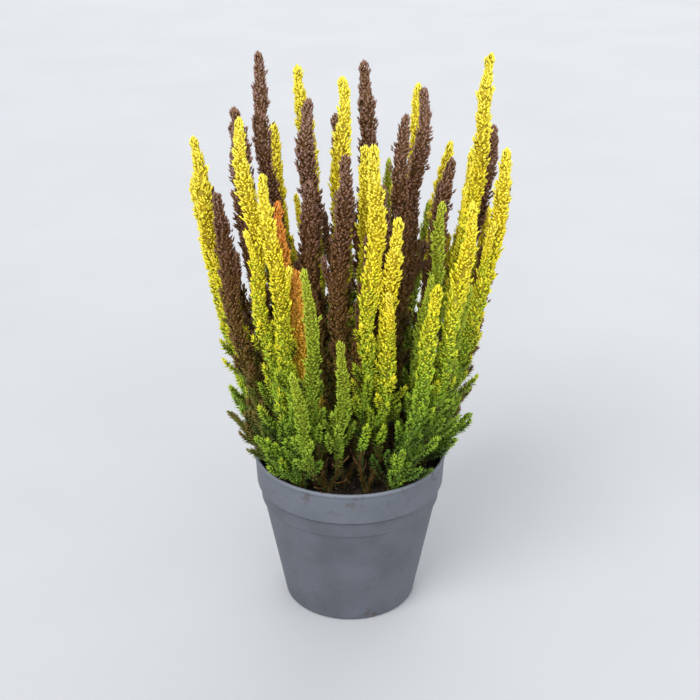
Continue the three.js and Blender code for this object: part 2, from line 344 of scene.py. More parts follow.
class Finish:
    """One material: its nodes and its shader, with the sockets that never vary set on the shader."""

    def __init__(self, name, **fixed):
        self.material = bpy.data.materials.new(name)
        self.material.use_nodes = True
        self.tree = self.material.node_tree
        self.shader = self.tree.nodes["Principled BSDF"]
        self.feed(**fixed)

    def node(self, kind, settings, sockets, output=0):
        """A node with its settings, then its sockets by name or number; gives one of its outputs."""
        node = self.tree.nodes.new(kind)
        for name, value in settings.items():
            if name == "stops":
                self.set_stops(node.color_ramp, value)
            else:
                setattr(node, name, value)
        for socket, value in sockets.items():
            put(self.tree, node.inputs[socket], value)
        return Value(node.outputs[output])

    def set_stops(self, ramp, stops):
        """Sets a ramp's stops; a new ramp has two."""
        for _ in stops[2:]:
            ramp.elements.new(0.5)
        for element, (place, colour) in zip(ramp.elements, stops):
            element.position = place
            element.color = colour

    def place(self):
        """The place on the object, in metres; it is the fourth output of its node."""
        return self.node("ShaderNodeTexCoord", {}, {}, 3)

    def axis(self, vector, number):
        return self.node("ShaderNodeSeparateXYZ", {}, {"Vector": vector}, number)

    def noise(self, where, scale, detail):
        return self.node("ShaderNodeTexNoise", {}, {"Vector": where, "Scale": scale, "Detail": detail})

    def ramp(self, value, stops):
        return self.node("ShaderNodeValToRGB", {"stops": stops}, {"Fac": value})

    def mask(self, value, low, high):
        """0 below low and 1 above high, with a soft step between."""
        sockets = {"Value": value, "From Min": low, "From Max": high}
        return self.node("ShaderNodeMapRange", {"interpolation_type": "SMOOTHSTEP"}, sockets)

    def above(self, height, low, high):
        """0 below one height and 1 above another, both in millimetres."""
        return self.mask(height, low * MM, high * MM)

    def blend(self, factor, first, second, how="MIX"):
        """Two colours mixed by a factor; the Mix node's colours are its sockets 6 and 7."""
        settings = {"data_type": "RGBA", "blend_type": how}
        return self.node("ShaderNodeMix", settings, {0: factor, 6: first, 7: second}, 2)

    def bump(self, height, strength, distance):
        sockets = {"Height": height, "Strength": strength, "Distance": distance}
        return self.node("ShaderNodeBump", {}, sockets)

    def feed(self, **sockets):
        """Sets or links the shader's sockets, whose names have underscores for spaces here."""
        for name, value in sockets.items():
            put(self.tree, self.shader.inputs[name.replace("_", " ")], value)
        return self.material


def foliage_finish(colour):
    """Leaves and buds coloured up the spike and from their shaded feet to their bright tips."""
    finish = Finish(f"{colour}_foliage", Roughness=0.55, Specular_IOR_Level=0.35)
    place = finish.node("ShaderNodeUVMap", {"uv_map": BAKE_MAP}, {})
    hue = finish.ramp(finish.axis(place, 0), [(at, linear(shade)) for at, shade in HUES[colour]])
    tone = finish.ramp(finish.axis(place, 1), TONES)
    return finish.feed(Base_Color=finish.blend(1.0, hue, tone, "MULTIPLY"))


def pot_finish():
    """Dull grey moulded plastic with painted light on its band and lip, painted shade under the band,
    and dirt at both ends.
    """
    finish = Finish("pot_plastic", Specular_IOR_Level=0.4)
    where = finish.place()
    height = finish.axis(where, 2)
    clouds = finish.noise(where, scale=45.0, detail=4.0)
    specks = finish.noise(where, scale=900.0, detail=2.0)
    plain = finish.blend(finish.mask(clouds, 0.3, 0.7), linear(DARK_PLASTIC), linear(LIGHT_PLASTIC))
    # Painted light: the band is made paler as if lit from above, and the lip's top has a painted
    # highlight.
    band = finish.above(height, BAND_BOTTOM - 0.8, BAND_BOTTOM + 0.4)
    lip = finish.above(height, POT_HEIGHT - LIP_HEIGHT + 0.4, POT_HEIGHT - 0.4)
    with_painted_light = finish.blend(band * 0.24 + lip * 0.35, plain, linear(PAINTED_LIGHT_PLASTIC))
    speckled = finish.blend(finish.mask(specks, 0.62, 0.72) * 0.22, with_painted_light, linear(WORN_SPECKS))
    # Painted shadow: a dark strip on the step just under the band's overhang.
    shadow_under_band = finish.above(height, BAND_BOTTOM - 2.6, BAND_BOTTOM - 0.6)
    step = shadow_under_band * (1 - finish.above(height, BAND_BOTTOM - 0.2, BAND_BOTTOM + 0.2))
    with_painted_shadow = finish.blend(step * 0.5, speckled, linear(UNDER_BAND_SHADOW))
    splashes = finish.mask(finish.noise(where, scale=160.0, detail=6.0), 0.58, 0.7)
    near_rim = finish.above(height, BAND_BOTTOM + 2, POT_HEIGHT) * 0.45
    near_foot = (1 - finish.above(height, 0, 14)) * 0.6
    dirt = splashes * (near_rim + near_foot + 0.12)
    colour = finish.blend(dirt, with_painted_shadow, linear(DRIED_SOIL))
    rough = finish.mask(clouds, 0.2, 0.8) * 0.12 + 0.5 + dirt * 0.3
    grain = specks * 0.5 + finish.noise(where, scale=260.0, detail=3.0)
    dents = finish.bump(grain, strength=0.25, distance=0.0003)
    return finish.feed(Base_Color=colour, Roughness=rough, Normal=dents)


def soil_finish():
    """Damp dark peat with paler fibres and crumbs."""
    finish = Finish("peat", Specular_IOR_Level=0.25)
    where = finish.place()
    lumps = finish.noise(where, scale=180.0, detail=5.0)
    fibres = finish.noise(where, scale=1100.0, detail=3.0)
    dark = finish.blend(finish.mask(lumps, 0.35, 0.7), linear(DARK_PEAT), linear(LIGHT_PEAT))
    colour = finish.blend(finish.mask(fibres, 0.62, 0.72) * 0.5, dark, linear(PEAT_FIBRES))
    rough = finish.mask(lumps, 0.3, 0.7) * 0.15 + 0.8
    grains = finish.bump(fibres, strength=0.6, distance=0.0006)
    return finish.feed(Base_Color=colour, Roughness=rough, Normal=grains)


def board_finish():
    """Pale matt board with faint clouds."""
    finish = Finish("pale_floor", Roughness=0.7, Specular_IOR_Level=0.2)
    tint = finish.mask(finish.noise(finish.place(), scale=6.0, detail=3.0), 0.3, 0.7)
    return finish.feed(Base_Color=finish.blend(tint, linear(DARK_BOARD), linear(LIGHT_BOARD)))


def mesh_object(name, points, faces, material, marks=None):
    """A smooth object of triangles whose points are in millimetres; marks are its bake-map places."""
    mesh = bpy.data.meshes.new(name)
    mesh.vertices.add(len(points))
    mesh.vertices.foreach_set("co", (np.asarray(points, float) * MM).astype(np.float32).ravel())
    corners = np.asarray(faces, np.int32).ravel()
    mesh.loops.add(len(corners))
    mesh.loops.foreach_set("vertex_index", corners)
    mesh.polygons.add(len(faces))
    mesh.polygons.foreach_set("loop_start", np.arange(0, len(corners), 3, dtype=np.int32))
    mesh.update(calc_edges=True)
    mesh.shade_smooth()
    if marks is not None:
        layer = mesh.uv_layers.new(name=BAKE_MAP)
        layer.uv.foreach_set("vector", marks[corners].astype(np.float32).ravel())
    mesh.materials.append(material)
    made = bpy.data.objects.new(name, mesh)
    bpy.context.collection.objects.link(made)
    return made


def smooth(x):
    """A soft step: 0 up to 0, 1 from 1, and a gentle slope between."""
    x = np.clip(x, 0, 1)
    return x * x * (3 - 2 * x)


def eased(start, change, run, distance):
    """A value that changes from its start by a softly rising amount over a run of distance."""
    return start + change * smooth(distance / run)


def unit(vectors):
    return vectors / np.linalg.norm(vectors, axis=-1, keepdims=True)


def turns(sides):
    """The angles of a ring of so many sides."""
    return np.arange(sides) * FULL_TURN / sides


def ring_points(radii, heights, sides):
    """Rings of points about Z, one for each radius and height."""
    turn = turns(sides)
    height = np.repeat(np.reshape(heights, (-1, 1)), sides, axis=1)
    points = np.stack([np.outer(radii, np.cos(turn)), np.outer(radii, np.sin(turn)), height], -1)
    return points.reshape(-1, 3)


def tube_faces(rings, sides):
    """The triangles of a closed tube; the middles of its two ends come after its rings of points."""
    corners = np.arange(sides)
    after = np.roll(corners, -1)
    last = (rings - 1) * sides
    faces = [
        np.stack([after, corners, np.full(sides, rings * sides)], 1),
        np.stack([last + corners, last + after, np.full(sides, rings * sides + 1)], 1),
    ]
    for a, b in ((ring + corners, ring + after) for ring in range(0, last, sides)):
        faces += [np.stack([a, b, b + sides], 1), np.stack([a, b + sides, a + sides], 1)]
    return np.concatenate(faces)


class Line:
    """A spike's centre line in millimetres, read by length from its foot."""

    def __init__(self, points):
        steps = np.linalg.norm(np.diff(points, axis=0), axis=1)
        self.points = points
        self.reach = np.concatenate([[0], np.cumsum(steps)])
        self.length = self.reach[-1]
        self.ways = unit(np.gradient(points, self.reach, axis=0))
        self.reference = np.eye(3)[np.argmin(np.abs(points[-1] - points[0]))]

    def at(self, s):
        """The place, the way up and two directions across the stem at each length s."""
        place = np.stack([np.interp(s, self.reach, self.points[:, i]) for i in range(3)], 1)
        along = unit(np.stack([np.interp(s, self.reach, self.ways[:, i]) for i in range(3)], 1))
        side = unit(np.cross(self.reference, along))
        return place, along, side, np.cross(along, side)

    def stretch(self, low, high):
        """The part of the line between two lengths."""
        return Line(self.points[(self.reach >= low) & (self.reach < high)])


def leaf_faces(sides):
    """The triangles of one leaf, whose points are its foot, those round its waist, and its tip."""
    if sides == 2:
        return np.array([(1, 2, 3), (2, 1, 0), (0, 1, 3), (0, 3, 2)])
    corners = np.arange(sides) + 1
    after = np.roll(corners, -1)
    return np.concatenate([
        np.stack([corners, after, np.full(sides, sides + 1)], 1),
        np.stack([after, corners, np.zeros(sides, int)], 1),
    ])


class Foliage:
    """Gathers the stems, leaves and buds of one spray, in millimetres.

    Each point's mark holds its place on the colours up the spike and on the tones up a leaf.
    """

    # How far up a leaf is widest, as a share of its length.
    WAIST = 0.42
    # What a mark gains round a leaf's waist and at its tip.
    WAIST_HUE = 0.006
    TIP_HUE = 0.14
    WAIST_TONE = 0.32
    TIP_TONE = 0.52
    # The least and the greatest mark, just inside the map's edges.
    LIMITS = (0.01, 0.99)

    def __init__(self):
        self.points = []
        self.faces = []
        self.marks = []
        self.count = 0

    def add(self, points, faces, hues, tones):
        self.points.append(points)
        self.faces.append(faces + self.count)
        self.marks.append(np.stack([hues, tones], -1).clip(*self.LIMITS).reshape(-1, 2))
        self.count += len(points)

    def leaves(self, foot, way, across, size, hue, tone, sides):
        """Plump pointed leaves from foot along way; a leaf of two sides is a needle with a keel."""
        length, width, thick = (np.broadcast_to(x, len(foot)) for x in size)
        tip = foot + way * length[:, None]
        keep = clear_of_pot(foot) & clear_of_pot(tip)
        foot, way, across, tip = foot[keep], way[keep], across[keep], tip[keep]
        length, width, thick, hue, tone = (x[keep] for x in (length, width, thick, hue, tone))
        if not len(foot):
            return
        outward = np.cross(way, across)
        turn = turns(sides)
        lift = np.sin(turn) if sides > 2 else np.ones(2)
        ring = (
            (foot + way * (self.WAIST * length)[:, None])[:, None]
            + across[:, None] * (width[:, None] / 2 * np.cos(turn))[..., None]
            + outward[:, None] * (thick[:, None] / 2 * lift)[..., None]
        )
        points = np.concatenate([foot[:, None], ring, tip[:, None]], axis=1)
        hues = np.repeat(hue[:, None], sides + 2, axis=1)
        hues[:, 1:-1] += self.WAIST_HUE * np.cos(turn)
        hues[:, -1] += self.TIP_HUE
        tones = tone[:, None] + np.array([0.0] + [self.WAIST_TONE] * sides + [self.TIP_TONE])
        faces = leaf_faces(sides)[None] + (np.arange(len(foot)) * (sides + 2))[:, None, None]
        self.add(points.reshape(-1, 3), faces.reshape(-1, 3), hues, tones)

    def stem(self, line, s, radius, hue, tone):
        """A closed tube at the lengths s of a line; radius and tone have a row for each s."""
        place, _, side, front = line.at(s)
        rings, sides = radius.shape
        turn = turns(sides)
        skin = (
            place[:, None]
            + side[:, None] * (radius * np.cos(turn))[..., None]
            + front[:, None] * (radius * np.sin(turn))[..., None]
        ).reshape(-1, 3)
        points = np.concatenate([skin, place[:1], place[-1:]])
        hues = np.concatenate([np.repeat(hue, sides), hue[:1], hue[-1:]])
        tones = np.concatenate([tone.ravel(), tone[0, :1], tone[-1, :1]])
        self.add(points, tube_faces(rings, sides), hues, tones)

    def build(self, name, material):
        points, faces, marks = (np.concatenate(x) for x in (self.points, self.faces, self.marks))
        return mesh_object(name, points, faces, material, marks)


def clear_of_pot(points):
    """Whether each point is off the soil and clear of the pot's wall and rim."""
    radius = np.hypot(points[:, 0], points[:, 1])
    above_soil = points[:, 2] > SOIL_TOP + OFF_SOIL
    off_wall = (points[:, 2] > POT_HEIGHT + OVER_RIM) | (radius < RIM_RADIUS - WALL - OFF_WALL)
    return above_soil & off_wall


def spiral(low, high, count, scatter, rng):
    """Lengths spread evenly up a stem and azimuths that turn round it, both a little uneven."""
    s = low + (high - low) * (np.arange(count) + rng.uniform(0, 1, count)) / count
    return s, np.arange(count) * GOLDEN_ANGLE + rng.normal(0, scatter, count)


def around(line, s, azimuth):
    """The place on a stem, the way up, and the ways outward and sideways at each azimuth."""
    place, along, side, front = line.at(s)
    radial = side * np.cos(azimuth)[:, None] + front * np.sin(azimuth)[:, None]
    across = front * np.cos(azimuth)[:, None] - side * np.sin(azimuth)[:, None]
    return place, along, radial, across


def leaned(first, second, angle):
    """Directions turned by angle from first towards second."""
    angle = np.asarray(angle)[..., None]
    return first * np.cos(angle) + second * np.sin(angle)


def spike_hue(line, shift):
    """A spike's place on its colours at each length, which follows that length and its height."""
    def hue(s):
        height = line.at(s)[0][:, 2]
        by_height = HEIGHT_HUE * (height - SHOOT_START) / HEIGHT_SPAN
        return FOOT_HUE + shift + LENGTH_HUE * s / line.length + by_height
    return hue


def same_hue(place):
    """One place on the colours all the way up a stem."""
    return lambda s: np.full(len(s), place)


def bare_stem(foliage, line, radius, hue, rng, sides=6, spacing=4.0, tone=0.25):
    """A slightly lumpy stem along a line; radius and hue are worked out from the length up it."""
    rings = max(4, int(line.length / spacing))
    s = np.linspace(0, line.length - STEM_GAP, rings)
    lumps = rng.uniform(-1, 1, (rings, sides))
    thick = radius(s)[:, None] * (1 + BARK_RELIEF * lumps)
    foliage.stem(line, s, thick, hue(s), tone + BARK_CONTRAST * lumps)


class Girth:
    """How thick a spike is at each height and side: it swells and thins, and side shoots stand out."""

    # Side shoots of two sizes: how many a millimetre, the length they rise over, their width and
    # how far the least and the greatest of them stand out.
    SHOOTS = ((0.8, 3.5, 1.6, 0.1, 0.5), (0.5, 4.5, 2.3, 0.7, 1.4))
    # How far above a spike's lowest buds the first shoot ends, and the length of a free tip.
    FIRST_END = 2
    FREE_TIP = 1.6
    # Two slow waves up a spike: the least and greatest length of each, and how much each swells it.
    WAVES = ((8, 15), (22, 42))
    SWELL = 0.065
    # Its share of its full width at its tip and at its foot, what it gains, and over what run.
    TIP = (0.6, 0.4, 26)
    FOOT = (0.62, 0.38, 30)
    # The same for its belly, which lies so deep below the tip, and the length of its rounded end.
    BELLY = (0.82, 0.18, 40)
    BELLY_DEPTH = 50
    DOME = 3

    def __init__(self, line, low, outer, stand, rng):
        self.line = line
        self.low = low
        self.outer = outer
        self.stand = stand
        self.waves = [(rng.uniform(*span), rng.uniform(0, FULL_TURN)) for span in self.WAVES]
        shoots = []
        for dense, rise, width, least, most in self.SHOOTS:
            count = int((line.length - low) * dense) + 1
            s, azimuth = spiral(low, line.length, count, 0.3, rng)
            stands = rng.uniform(least, most, count)
            sizes = np.full(count, rise), np.full(count, width)
            shoots.append(np.stack([s + self.FIRST_END, azimuth, stands, *sizes]))
        self.shoot_s, self.shoot_azimuth, self.shoot_stand, self.rise, self.width = np.hstack(shoots)

    def plain(self, s):
        """The radius without the side shoots."""
        left = self.line.length - s
        swell = 1 + sum(self.SWELL * np.sin(s * FULL_TURN / wave + phase) for wave, phase in self.waves)
        dome = np.sqrt(np.clip(left / self.DOME, 0.03, 1))
        slim, gain, run = self.BELLY
        belly = slim + gain * np.exp(-((left - self.BELLY_DEPTH) / run) ** 2)
        foot = eased(*self.FOOT, s - self.low)
        return self.outer * swell * eased(*self.TIP, left) * dome * belly * foot

    def shoots(self, s, azimuth):
        """Each side shoot rises slowly over the ones below it and ends in a free tip."""
        past = s[:, None] - self.shoot_s
        rise = np.where(past < 0, 1 + past / self.rise, 1 - past / self.FREE_TIP).clip(0, 1)
        turn = (azimuth[:, None] - self.shoot_azimuth + math.pi) % FULL_TURN - math.pi
        narrow = np.exp(-(turn * self.outer / self.width) ** 2)
        return (rise * narrow * self.shoot_stand).max(axis=1)

    def full(self, s, azimuth):
        """The radius with the side shoots."""
        plain = self.plain(s)
        return plain + self.stand * self.shoots(s, azimuth) * plain / self.outer


# The core of old leaves in a spike: how far below the buds it starts, the run it fills out over,
# its end below the tip, the spacing of its rings, their sides, its least radius, how uneven its
# surface is, its dark tone, which is painted shade in the gaps between the buds, and how uneven
# that tone is.
CORE_START = 8
CORE_RUN = 14
CORE_END = 0.5
CORE_SPACING = 1.5
CORE_SIDES = 8
CORE_LEAST = 0.9
CORE_RELIEF = 0.16
CORE_SHADE = 0.26
CORE_CONTRAST = 0.14


def spike_core(foliage, girth, fill, hue, rng):
    """The old leaves packed round a spike's stem: a lumpy core that fills out towards its buds,
    darkened with painted shade.
    """
    line, low = girth.line, girth.low
    s = np.arange(low - CORE_START, line.length - CORE_END, CORE_SPACING).clip(0)
    turn = np.tile(turns(CORE_SIDES), (len(s), 1))
    thick = girth.full(np.repeat(s, CORE_SIDES), turn.ravel()).reshape(turn.shape)
    filled = smooth((s - low + CORE_START) / CORE_RUN)
    thick = np.maximum(CORE_LEAST, fill * thick * filled[:, None])
    lumps = rng.uniform(-1, 1, turn.shape)
    # Painted shade: the core's low tone darkens the gaps between the buds.
    tone = CORE_SHADE + CORE_CONTRAST * lumps
    foliage.stem(line, s, thick * (1 + CORE_RELIEF * lumps), hue(s), tone)


# How uneven buds are, as spreads of the factors on their lean, size and reach out of the stem, and
# of their places on the colours and tones, and the painted light that they gain where a side shoot
# stands out, which leaves the hollows between shoots in painted shade.
BUD_LEANS = (0.75, 1.3)
BUD_SIZES = (0.75, 1.2)
BUD_REACHES = (0.92, 1.1)
BUD_HUES = 0.055
BUD_TONES = (0.02, 0.24)
BUD_SHOOT_LIGHT = 0.48
# At a spike's tip, their lean and the run they open over, and their size, its gain and its run.
BUD_CLOSED = (0.08, 8)
BUD_YOUNG = (0.8, 0.2, 20)


def spike_buds(foliage, girth, kind, girth_by, hue, lighter, rng):
    """Plump buds all over a spike, brightest with painted light on its side shoots, smaller and closed
    up at its tip.
    """
    line, low = girth.line, girth.low
    count = int((line.length - low) * kind.dense * girth_by)
    s, azimuth = spiral(low, line.length, count, 0.25, rng)
    place, along, radial, across = around(line, s, azimuth)
    left = line.length - s
    closed, opening = BUD_CLOSED
    tilt = eased(closed, kind.lean - closed, opening, left) * rng.uniform(*BUD_LEANS, count)
    scale = rng.uniform(*BUD_SIZES, count) * eased(*BUD_YOUNG, left) * girth_by ** 0.5
    tip = girth.full(s, azimuth) * rng.uniform(*BUD_REACHES, count)
    reach = tip - kind.bud[0] * scale * np.sin(tilt)
    foot = place + radial * np.maximum(reach, 0.1)[:, None]
    tint = hue(s) + rng.normal(0, BUD_HUES, count)
    # Painted light: buds on a side shoot's crest are brighter than those in the hollows between shoots.
    tone = lighter + rng.uniform(*BUD_TONES, count) + BUD_SHOOT_LIGHT * girth.shoots(s, azimuth)
    bud = tuple(scale * x for x in kind.bud)
    foliage.leaves(foot, leaned(along, radial, tilt), across, bud, tint, tone, BUD_SIDES)


def spike_top(foliage, line, colour, girth_by, hue, rng, start=BUDS_START, lighter=0.0):
    """The upper part of a spike: old leaves packed round the stem, with buds set all over them."""
    kind = SPIKES[colour]
    girth = Girth(line, line.length * start, kind.radius * girth_by, kind.stand, rng)
    spike_core(foliage, girth, kind.fill, hue, rng)
    spike_buds(foliage, girth, kind, girth_by, hue, lighter, rng)


# How uneven needle leaves are, in the same way, and how far out from the stem's line they start.
NEEDLE_LEANS = (0.8, 1.2)
NEEDLE_SIZES = (0.75, 1.15)
NEEDLE_HUES = 0.02
NEEDLE_TONES = (0, 0.36)
NEEDLE_CLOSED = (0.2, 4)
NEEDLE_FOOT = 0.3


def needles(foliage, line, kind, hue, rng, tone=0.0, brighter=0.0):
    """Needle leaves all along a shoot, closing up and growing brighter towards its tip.

    hue holds the places on the colours of its foot and tip. A few of the leaves are dry.
    """
    count = int(line.length * kind.dense)
    s, azimuth = spiral(0, line.length, count, 0.3, rng)
    place, along, radial, across = around(line, s, azimuth)
    closed, opening = NEEDLE_CLOSED
    lean = eased(closed, kind.lean - closed, opening, line.length - s)
    tilt = lean * rng.uniform(*NEEDLE_LEANS, count)
    scale = rng.uniform(*NEEDLE_SIZES, count)
    tint = hue[0] + (hue[1] - hue[0]) * s / line.length + rng.normal(0, NEEDLE_HUES, count)
    tint = np.where(rng.uniform(0, 1, count) < DRY_SHARE, DRY_HUE, tint)
    tones = tone + rng.uniform(*NEEDLE_TONES, count) + brighter * (s / line.length - 0.3)
    size = tuple(scale * x for x in kind.size)
    foot = place + radial * NEEDLE_FOOT
    foliage.leaves(foot, leaned(along, radial, tilt), across, size, tint, tones, NEEDLE_SIDES)


def leafy_shoot(foliage, line, place, rng):
    """A small side shoot from its place on the colours: the youngest are bright, the oldest dark."""
    young = rng.uniform(0, 1)
    hue = (place - 0.05 + 0.06 * young, place + 0.06 + 0.2 * young)
    needles(foliage, line, SHOOT_NEEDLES, hue, rng, tone=0.36 * young - 0.24, brighter=0.5)
    bare_stem(foliage, line, lambda s: 0.45 - 0.012 * s, same_hue(place), rng, sides=3, spacing=5)


def side_growth(line, low, high, kind, rng, fullness=1):
    """What leans out of a stem and turns up: where each leaves the stem, and its own centre line."""
    count = int((high - low) / (kind.spacing / fullness))
    s = low + (high - low) * (np.arange(count) + rng.uniform(0.1, 0.9, count)) / count
    azimuth = np.arange(count) * GOLDEN_ANGLE + rng.uniform(0, 6.3) + rng.normal(0, 0.25, count)
    place, along, radial, across = around(line, s, azimuth)
    reach = kind.low_reach + (kind.high_reach - kind.low_reach) * (s - low) / (high - low)
    length = reach * rng.uniform(*GROWTH_LENGTHS, count)
    t = (np.arange(GROWTH_STEPS) + 0.5) / GROWTH_STEPS
    lean = kind.foot_lean + (kind.tip_lean - kind.foot_lean) * t
    ways = leaned(along[:, None], radial[:, None], rng.uniform(*GROWTH_LEANS, count)[:, None] * lean)
    swerve = rng.normal(0, GROWTH_SWERVE, count)[:, None] * t
    ways = unit(ways + across[:, None] * swerve[..., None] + np.array(GROWTH_LIFT) * t[:, None])
    points = np.cumsum(ways * (length / GROWTH_STEPS)[:, None, None], axis=1) + place[:, None]
    points = np.concatenate([place[:, None], points], axis=1)
    for where, path in zip(s, points):
        if clear_of_pot(path[2:]).all():
            yield where, Line(path)


def leafy_foot(foliage, line, hue, bare, fullness, rng):
    """The lower part of a spike: needles on its stem and leafy side shoots, longest near the soil.

    Only dry twigs and a few needles grow on its first bare millimetres.
    """
    bare_stem(
        foliage, line.stretch(0, line.length * WOODY_END),
        lambda s: STEM_RADIUS - STEM_TAPER * s / line.length,
        lambda s: eased(DRY_HUE, 0.1, 40, s - bare), rng, sides=7, spacing=2.2,
    )
    if bare:
        needles(foliage, line.stretch(0, bare + LAST_TWIG), FOOT_NEEDLES, (0.0, 0.03), rng)
    ends = bare, line.length * NEEDLES_END
    needles(foliage, line.stretch(*ends), STEM_NEEDLES, hue(np.array(ends)), rng, tone=-0.1)
    low, high = bare + FIRST_SHOOT, line.length * SHOOTS_END
    for s, shoot in side_growth(line, low, high, LEAFY_SHOOTS, rng, fullness):
        leafy_shoot(foliage, shoot, float(hue(np.array([s]))[0]), rng)
    for _, twig in side_growth(line, FIRST_TWIG, bare + LAST_TWIG, DRY_TWIGS, rng):
        bare_stem(
            foliage, twig, lambda s: 0.55 - 0.02 * s, same_hue(DRY_HUE), rng,
            sides=4, spacing=2, tone=0.42,
        )


def side_spikes(foliage, line, colour, shift, rng):
    """A smaller spike or two that fork off a spike half way up and run beside it."""
    low, high = (line.length * share for share in FORKS)
    for _, path in side_growth(line, low, high, SIDE_SPIKES, rng):
        hue = spike_hue(path, shift + SIDE_SPIKE_HUE)
        spike_top(foliage, path, colour, SIDE_SPIKE_GIRTH, hue, rng, start=SIDE_BUDS_START)


def spike_line(root, base, tip, rng):
    """The centre line of a spike as packed, with a slight natural sway."""
    tip_x, tip_y, top, bow = tip
    t = np.linspace(0, 1, LINE_SAMPLES)
    outward = t + bow * t * (1 - t)
    rise = (top - SHOOT_START) * t
    joined = np.maximum(0, 1 - rise / FORK_HEIGHT)
    x = base[0] + (tip_x - base[0]) * outward
    y = base[1] + (tip_y - base[1]) * outward
    x += (root[0] - x) * joined
    y += (root[1] - y) * joined
    for coordinate in (x, y):
        wave, phase = rng.uniform(*SWAY_WAVES), rng.uniform(0, FULL_TURN)
        sway = SWAY * smooth((rise - FORK_HEIGHT) / SWAY_RUN)
        coordinate += sway * np.sin(rise * FULL_TURN / wave + phase)
    return Line(np.stack([x, y, SHOOT_START + rise], 1))


def spike_bases(root, tips):
    """Where each spike of a spray would leave the soil if it didn't meet the others."""
    ends = np.array([tip[:2] for tip in tips], float)
    return np.array(root) + FORK_OFFSET * unit(ends - ends.mean(0))


def sprig_tips(root):
    """Tips of the low sprigs that lean out over the rim, on the sprays that stand near it."""
    if math.hypot(*root) < SPRIG_MIN_ROOT:
        return []
    tips = []
    for reach, height, turn in SPRIG_TIPS:
        angle = math.atan2(root[1], root[0]) + math.radians(turn)
        tips.append((reach * math.cos(angle), reach * math.sin(angle), height, SPRIG_BOW))
    return tips


def low_sprig(foliage, line, rng):
    """A low green sprig that leans over the rim: a slim leafy shoot with smaller ones beside it."""
    turned_up = smooth(line.reach / line.length * 1.7 - 0.7)[:, None]
    line = Line(line.points * (1 - turned_up * SPRIG_TIP_SHIFT))
    green = rng.uniform(0.1, 0.16)
    spike_top(
        foliage, line, "green", SPRIG_GIRTH, lambda s: green + 0.2 * s / line.length, rng,
        start=SPRIG_BUDS_START, lighter=rng.uniform(-0.08, 0.1),
    )
    bare_stem(foliage, line, lambda s: 1 - 0.6 * s / line.length, lambda s: 0.05 + 0.001 * s, rng)
    for s, shoot in side_growth(line, 5, line.length - 10, SPRIG_SHOOTS, rng):
        leafy_shoot(foliage, shoot, green + 0.15 * s / line.length, rng)


def trunk(foliage, root, rng):
    """The woody foot that stands in the soil and thins where its shoots leave it."""
    points = np.zeros((TRUNK_JOINTS, 3))
    points[:, :2] = root
    points[:, 2] = np.linspace(SOIL_TOP - TRUNK_DEPTH, TRUNK_TOP, TRUNK_JOINTS)
    points[1:, :2] += rng.normal(0, 0.15, (TRUNK_JOINTS - 1, 2))
    bare_stem(
        foliage, Line(points), lambda s: eased(TRUNK_RADIUS, -TRUNK_TAPER, 6, s - 7),
        lambda s: DRY_HUE + 0.001 * s, rng, sides=9, spacing=1.0,
    )


def spray(name, number, finishes):
    """One spray: its trunk, its spikes and, near the rim, its low sprigs."""
    colour = name.split("_")[0]
    root, tips = SPRAYS[name]
    rng = np.random.default_rng(SPRAY_SEED + number)
    foliage = Foliage()
    trunk(foliage, root, rng)
    from_middle = math.hypot(*root)
    fullness = eased(*FULLNESS, from_middle - CROWDED)
    bare = 0 if from_middle >= SPRIG_MIN_ROOT else BARE_FOOT
    for base, tip in zip(spike_bases(root, tips), tips):
        line = spike_line(root, base, tip, rng)
        shift = rng.uniform(-0.04, 0.04) - GREENER.get(name, 0)
        hue = spike_hue(line, shift)
        leafy_foot(foliage, line, hue, bare, fullness, rng)
        girth_by = rng.uniform(0.9, 1.06)
        spike_top(foliage, line, colour, girth_by, hue, rng, lighter=rng.uniform(-0.07, 0.05))
        side_spikes(foliage, line, colour, shift, rng)
    for tip in sprig_tips(root):
        low_sprig(foliage, spike_line(root, root, tip, rng), rng)
    piece = foliage.build(f"{name}_leaves", finishes[colour])
    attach(piece, "root")
    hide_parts(name)


def turned(name, profile, sides, material):
    """A body turned about Z from points of radius and height that start and end on the axis."""
    ends = [(0, 0, profile[0][1]), (0, 0, profile[-1][1])]
    points = np.concatenate([ring_points(*np.transpose(profile[1:-1]), sides), ends])
    return mesh_object(name, points, tube_faces(len(profile) - 2, sides), material)


def rounded(points, steps=3, share=2.2):
    """The outline with each inner corner replaced by a small curve.

    A curve takes no more of an edge than the edge's length divided by share.
    """
    ring = [np.array(point, float) for point in points]
    smoothed = [ring[0]]
    for before, corner, after in zip(ring, ring[1:], ring[2:]):
        into = min(CORNER_RADIUS, np.linalg.norm(corner - before) / share)
        out = min(CORNER_RADIUS, np.linalg.norm(after - corner) / share)
        start = corner + unit(before - corner) * into
        end = corner + unit(after - corner) * out
        for t in np.linspace(0, 1, steps):
            smoothed.append((1 - t) ** 2 * start + 2 * t * (1 - t) * corner + t * t * end)
    return smoothed + [ring[-1]]


